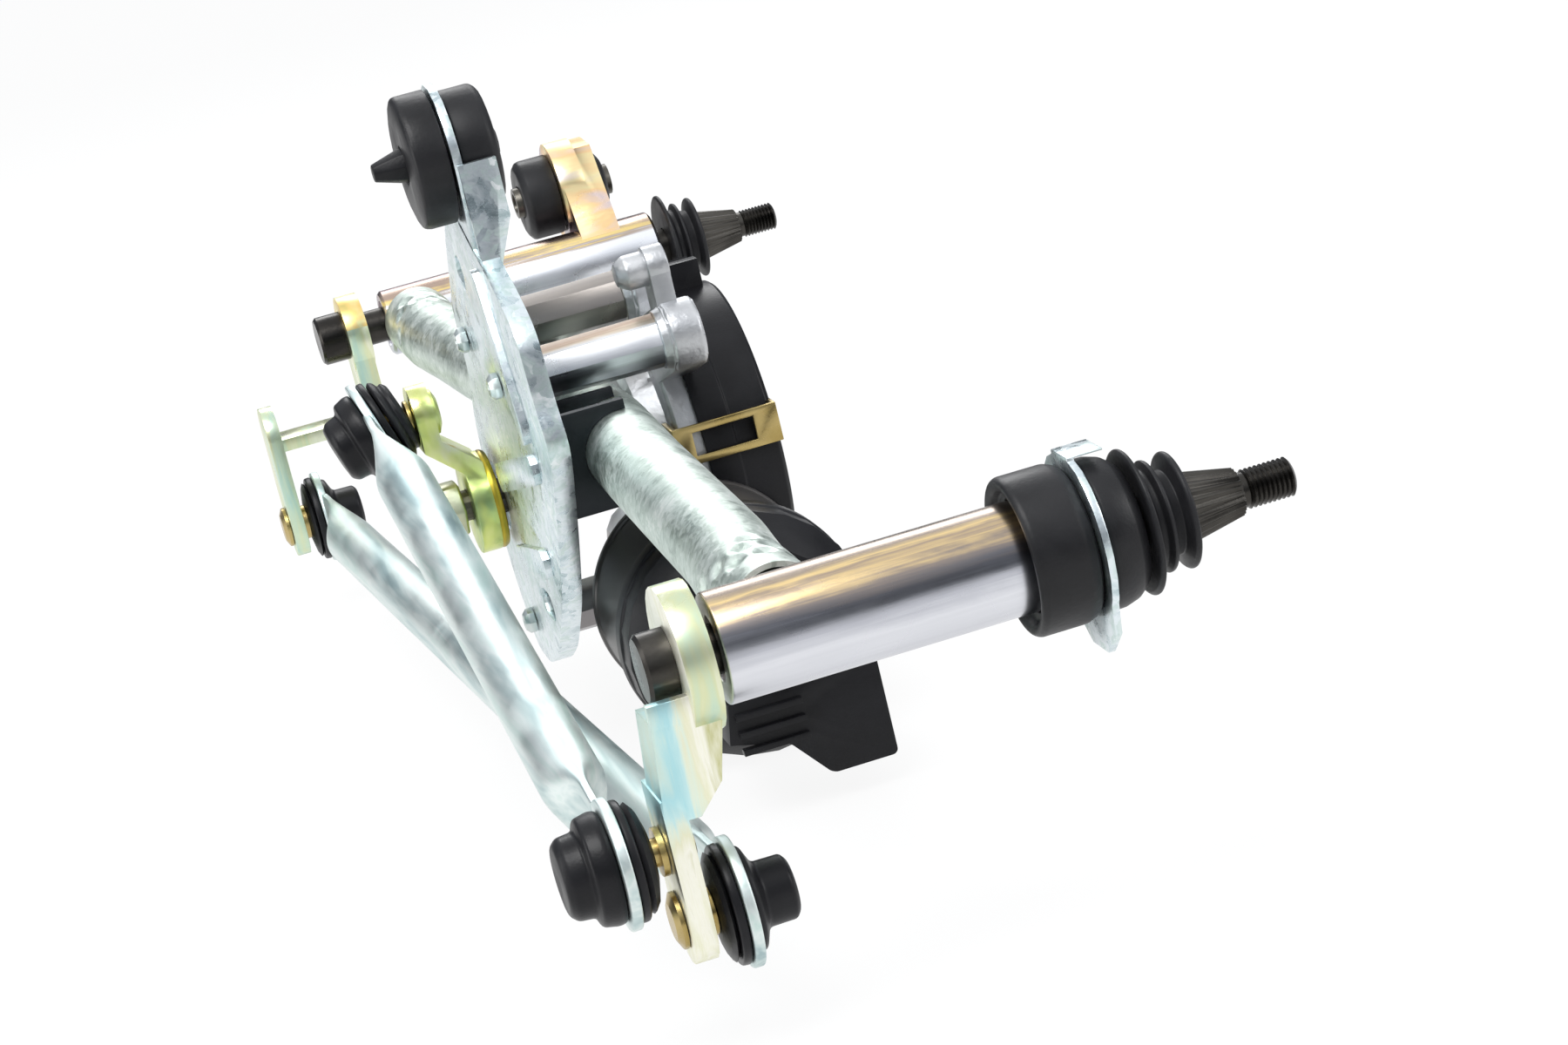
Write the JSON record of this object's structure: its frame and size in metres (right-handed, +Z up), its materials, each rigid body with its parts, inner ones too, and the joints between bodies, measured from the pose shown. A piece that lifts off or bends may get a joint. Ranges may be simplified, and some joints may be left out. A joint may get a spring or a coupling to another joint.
{
  "type": "windshield wiper motor",
  "caption": "Windshield wiper motor with worm gearbox on a tube frame, crank, ball-jointed rods and levers driving two splined wiper shafts.",
  "frame": {"origin": "middle of the bottom of the box round the assembly, as pictured", "axes": "+X along the wiper shafts towards their threaded tips, +Y from the near pivot to the far pivot, +Z up"},
  "size_m": [0.1978, 0.5616, 0.205],
  "materials": {
    "zinc": "bright zinc plated sheet, mottled",
    "casting": "plated, iridescent bands",
    "aluminium": "as cast",
    "chromate": "green-yellow chromate",
    "gold": "gold chromate",
    "steel": "dark oiled steel",
    "rubber": "black rubber",
    "plastic": "black plastic",
    "can": "black paint",
    "magnet": "ferrite",
    "carbon": "carbon",
    "bronze": "sintered bronze",
    "brass": "bright",
    "core": "steel laminations",
    "copper": "enamelled copper",
    "wheel": "pale nylon"
  },
  "bodies": {
    "frame": {"frame_tube": "zinc", "near_pivot_housing": "casting", "far_pivot_housing": "casting", "near_pivot_bush": "bronze", "far_pivot_bush": "bronze", "near_grommet": "rubber", "near_mount_ring": "zinc", "far_lug_grommet": "rubber", "far_lug_sleeve": "steel", "motor_plate": "zinc", "plate_grommet": "rubber", "plate_grommet_pin": "plastic", "gearbox_housing": "aluminium", "gear_cover": "plastic", "cover_clip": "gold", "cover_screw_1": "gold", "cover_screw_2": "gold", "cover_screw_3": "gold", "plate_screw_1": "gold", "plate_screw_2": "gold", "plate_screw_3": "gold", "output_bush": "bronze", "motor_yoke": "can", "left_magnet": "magnet", "right_magnet": "magnet", "brush_holder": "plastic", "left_brush": "carbon", "right_brush": "carbon", "connector_cap": "plastic", "terminal_1": "brass", "terminal_2": "brass"},
    "armature": {"armature_shaft": "steel", "armature_core": "core", "armature_windings": "copper", "commutator": "copper"},
    "crank": {"worm_wheel": "wheel", "output_shaft": "steel", "crank_arm": "chromate", "crank_nut": "gold", "crank_washer": "gold"},
    "near_lever_set": {"near_shaft": "steel", "near_seal_cap": "rubber", "near_lever": "chromate", "near_drive_stud": "gold", "near_link_stud": "gold"},
    "far_lever_set": {"far_shaft": "steel", "far_seal_cap": "rubber", "far_lever": "chromate", "far_link_stud": "gold"},
    "drive_rod_set": {"drive_rod": "zinc", "drive_rod_near_socket": "plastic", "drive_rod_near_boot": "rubber", "drive_rod_crank_socket": "plastic", "drive_rod_crank_boot": "rubber", "crank_ball_stud": "gold"},
    "link_rod_set": {"link_rod": "zinc", "link_rod_near_socket": "plastic", "link_rod_near_boot": "rubber", "link_rod_far_socket": "plastic", "link_rod_far_boot": "rubber"}
  },
  "joints": [
    {"name": "crank_turn", "type": "hinge", "parent": "frame", "child": "crank", "pos_m": [-0.04555, 0.04875, 0.0697], "axis": [1, 0, 0], "range_deg": [-90, 90]},
    {"name": "near_lever_swing", "type": "hinge", "parent": "frame", "child": "near_lever_set", "pos_m": [-0.04555, -0.25925, 0.0947], "axis": [1, 0, 0], "range_deg": [-44.5, 44.5]},
    {"name": "far_lever_swing", "type": "hinge", "parent": "frame", "child": "far_lever_set", "pos_m": [-0.04555, 0.24075, 0.0947], "axis": [1, 0, 0], "range_deg": [-44.5, 44.5]},
    {"name": "drive_rod_pivot", "type": "hinge", "parent": "near_lever_set", "child": "drive_rod_set", "pos_m": [-0.07955, -0.25925, 0.0517], "axis": [1, 0, 0], "range_deg": [-44.5, 44.5]},
    {"name": "link_rod_pivot", "type": "hinge", "parent": "near_lever_set", "child": "link_rod_set", "pos_m": [-0.05405, -0.25925, 0.0342], "axis": [1, 0, 0], "range_deg": [-44.5, 44.5]},
    {"name": "armature_spin", "type": "hinge", "parent": "frame", "child": "armature", "pos_m": [0.00045, -0.25925, 0.0357], "axis": [0, 1, 0], "continuous": true}
  ],
  "couplings": [
    {"joint": "near_lever_swing", "follows": "crank_turn", "ratio": -0.494},
    {"joint": "far_lever_swing", "follows": "crank_turn", "ratio": -0.494},
    {"joint": "drive_rod_pivot", "follows": "crank_turn", "ratio": 0.494},
    {"joint": "link_rod_pivot", "follows": "crank_turn", "ratio": 0.494},
    {"joint": "armature_spin", "follows": "crank_turn", "ratio": 44}
  ]
}
